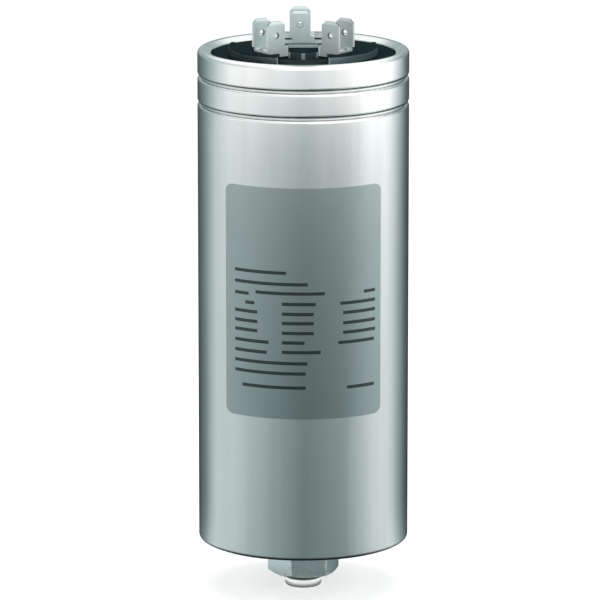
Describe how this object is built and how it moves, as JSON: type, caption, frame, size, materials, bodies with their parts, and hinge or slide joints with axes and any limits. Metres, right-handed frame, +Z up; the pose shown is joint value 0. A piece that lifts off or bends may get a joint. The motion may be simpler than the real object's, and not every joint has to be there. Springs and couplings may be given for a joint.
{
  "type": "power factor correction capacitor",
  "caption": "Cylindrical three-phase power factor correction capacitor: aluminium can with mounting stud and nut below, black cover with double push-on tabs on top.",
  "frame": {"origin": "on the can's axis, in the plane of its flat underside, which sits on the mounting panel", "axes": "+Z up along the can's axis towards the tabs; -Y is the front, where the rating label is; +X to the right seen from the front"},
  "size_m": [0.0636, 0.0637, 0.1766],
  "materials": {
    "can_metal": "satin drawn aluminium",
    "label_film": "matt grey film",
    "cover_plastic": "black moulded",
    "seal_rubber": "black rubber",
    "plug_plastic": "black moulded",
    "tab_metal": "tin plated, dull grey",
    "plate_metal": "tin plated",
    "rivet_metal": "tin plated",
    "nut_metal": "bright zinc plated",
    "washer_metal": "zinc plated",
    "insulator_board": "pressed board",
    "sleeve_film": "clear film wrap",
    "film_roll": "metallised film roll with sprayed zinc ends",
    "core_plastic": "natural moulded",
    "strip_metal": "tinned copper strip"
  },
  "bodies": {
    "root": {"can": "can_metal", "rating_label": "label_film", "terminal_deck": "cover_plastic", "sealing_ring": "seal_rubber", "fill_plug": "plug_plastic", "terminal_left": "tab_metal", "terminal_right": "tab_metal", "terminal_back": "tab_metal", "contact_plate": "plate_metal", "contact_block": "plate_metal", "side_rivets": "rivet_metal", "back_rivet": "rivet_metal", "inner_lugs": "rivet_metal", "hex_nut": "nut_metal", "toothed_washer": "washer_metal", "bottom_insulator": "insulator_board", "top_insulator": "insulator_board", "insulating_sleeve": "sleeve_film", "winding_lower": "film_roll", "winding_middle": "film_roll", "winding_upper": "film_roll", "winding_cores": "core_plastic", "winding_spacers": "insulator_board", "phase_strip_left": "strip_metal", "phase_strip_right": "strip_metal", "phase_strip_back": "strip_metal", "break_off_leads": "strip_metal", "break_off_plate": "core_plastic"}
  },
  "joints": []
}
